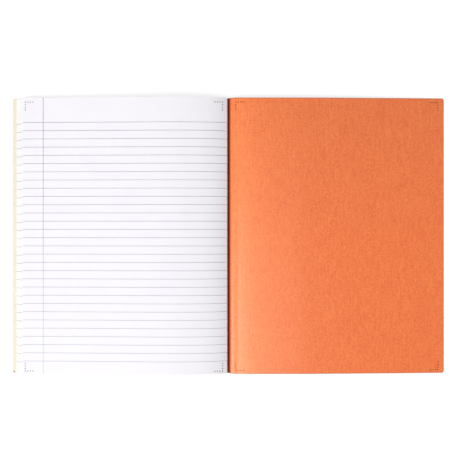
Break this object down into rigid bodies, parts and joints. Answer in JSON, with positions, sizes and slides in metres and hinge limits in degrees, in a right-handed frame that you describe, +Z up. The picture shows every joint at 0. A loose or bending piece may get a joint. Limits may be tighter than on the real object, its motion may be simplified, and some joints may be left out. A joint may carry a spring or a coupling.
{
  "type": "open composition notebook",
  "caption": "Sewn, tape-bound ruled exercise book lying open at its last page: sheets turned onto the front cover, back cover arched beside them, both covers hinged.",
  "frame": {"origin": "on the table under the stitch line, in the middle of the book's height and of the spread's width", "axes": "+X across the spread from the ruled page towards the back cover, +Y up the page towards its head, +Z up from the table"},
  "size_m": [0.389, 0.2476, 0.0107],
  "materials": {
    "cover_card_cream": "uncoated",
    "cover_card_orange": "uncoated, faintly mottled",
    "paper_white": "matt",
    "binding_tape": "matt cloth tape",
    "thread": "matt thread"
  },
  "bodies": {
    "sheets_and_spine": {"page_block": "paper_white", "cover_spine": "cover_card_orange", "spine_tape": "binding_tape", "sewing_thread": "thread"},
    "front": {"front_cover": "cover_card_cream", "front_tape_lap": "binding_tape"},
    "back": {"back_cover": "cover_card_orange", "back_tape_lap": "binding_tape"}
  },
  "joints": [
    {"name": "front_cover_hinge", "type": "hinge", "parent": "sheets_and_spine", "child": "front", "pos_m": [-0.005, 0, 0], "axis": [0, -1, 0], "range_deg": [0, 170]},
    {"name": "back_cover_hinge", "type": "hinge", "parent": "sheets_and_spine", "child": "back", "pos_m": [0.004, 0, 0.00447], "axis": [0, -1, 0], "range_deg": [0, 160]}
  ]
}
